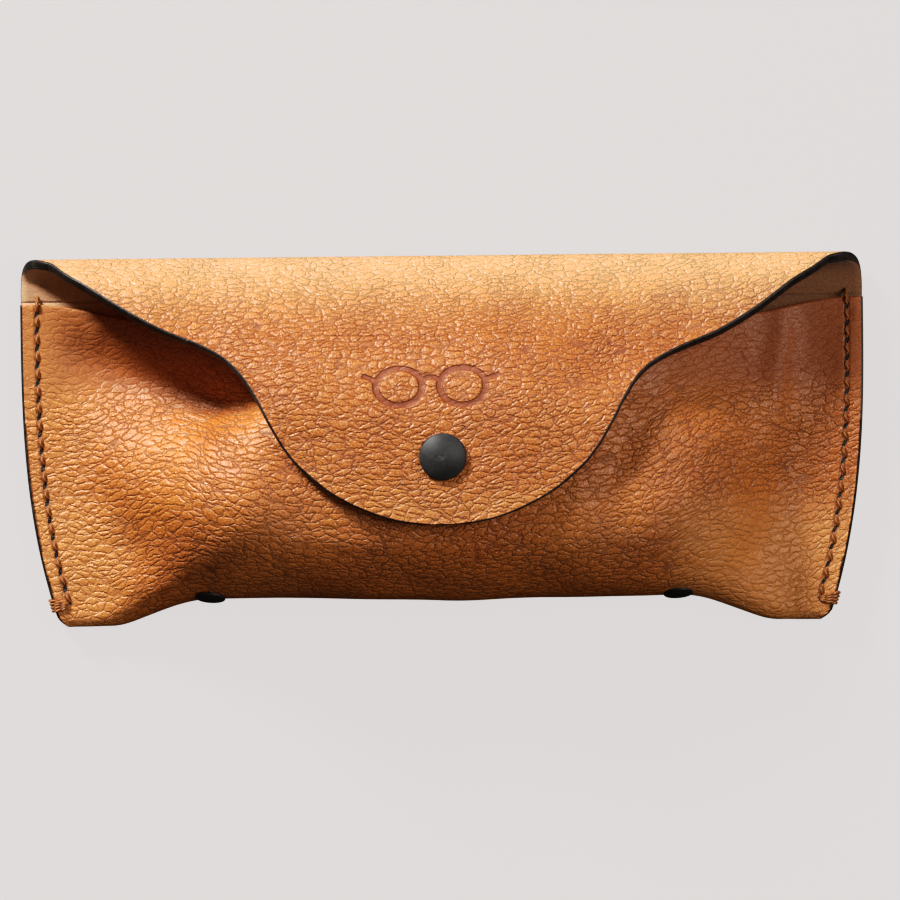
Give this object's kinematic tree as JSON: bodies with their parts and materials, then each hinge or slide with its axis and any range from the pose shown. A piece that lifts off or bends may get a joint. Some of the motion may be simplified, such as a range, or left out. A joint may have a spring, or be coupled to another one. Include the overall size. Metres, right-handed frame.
{
  "type": "eyeglasses case",
  "caption": "Soft leather glasses pouch folded from one hide, with sewn sides, a flap with a rounded tongue and a snap fastener.",
  "frame": {"origin": "middle of the flat back's outer face, which the pouch rests on", "axes": "+X to the right across the width, +Y up to the folded top, +Z out of the front; the pouch lies on its back with the flap closed"},
  "size_m": [0.1784, 0.0779, 0.0315],
  "materials": {
    "hide": "pebbled tan leather, soft sheen",
    "suede": "brown napped suede",
    "thread": "waxed tan thread",
    "stiffener": "bonded leather board",
    "black_metal": "satin black",
    "bright_metal": "dull plated",
    "spring_wire": "drawn wire"
  },
  "bodies": {
    "pouch": {"pouch_leather": "hide", "pouch_lining": "suede", "left_seam_thread": "thread", "right_seam_thread": "thread", "base_insert": "stiffener", "left_base_rivet_cap": "black_metal", "right_base_rivet_cap": "black_metal", "left_base_rivet_back": "bright_metal", "right_base_rivet_back": "bright_metal", "snap_stud": "bright_metal", "snap_stud_post": "bright_metal"},
    "flap": {"flap_leather": "hide", "flap_lining": "suede"},
    "tongue": {"tongue_leather": "hide", "tongue_lining": "suede", "snap_cap": "black_metal", "snap_socket": "bright_metal"},
    "left_spring_leg": {"snap_spring_left_leg": "spring_wire"},
    "right_spring_leg": {"snap_spring_right_leg": "spring_wire"}
  },
  "joints": [
    {"name": "flap_fold", "type": "hinge", "parent": "pouch", "child": "flap", "pos_m": [0, 0.039, 0.0055], "axis": [-1, 0, 0], "range_deg": [0, 140]},
    {"name": "tongue_peel", "type": "hinge", "parent": "flap", "child": "tongue", "pos_m": [0, 0.011, 0.02901], "axis": [-1, 0, 0], "range_deg": [0, 40]},
    {"name": "left_leg_grip", "type": "slide", "parent": "tongue", "child": "left_spring_leg", "axis": [1, 0, 0], "range_m": [0, 0.0003]},
    {"name": "right_leg_grip", "type": "slide", "parent": "tongue", "child": "right_spring_leg", "axis": [-1, 0, 0], "range_m": [0, 0.0003]}
  ],
  "couplings": [
    {"joint": "right_leg_grip", "follows": "left_leg_grip", "ratio": 1}
  ]
}
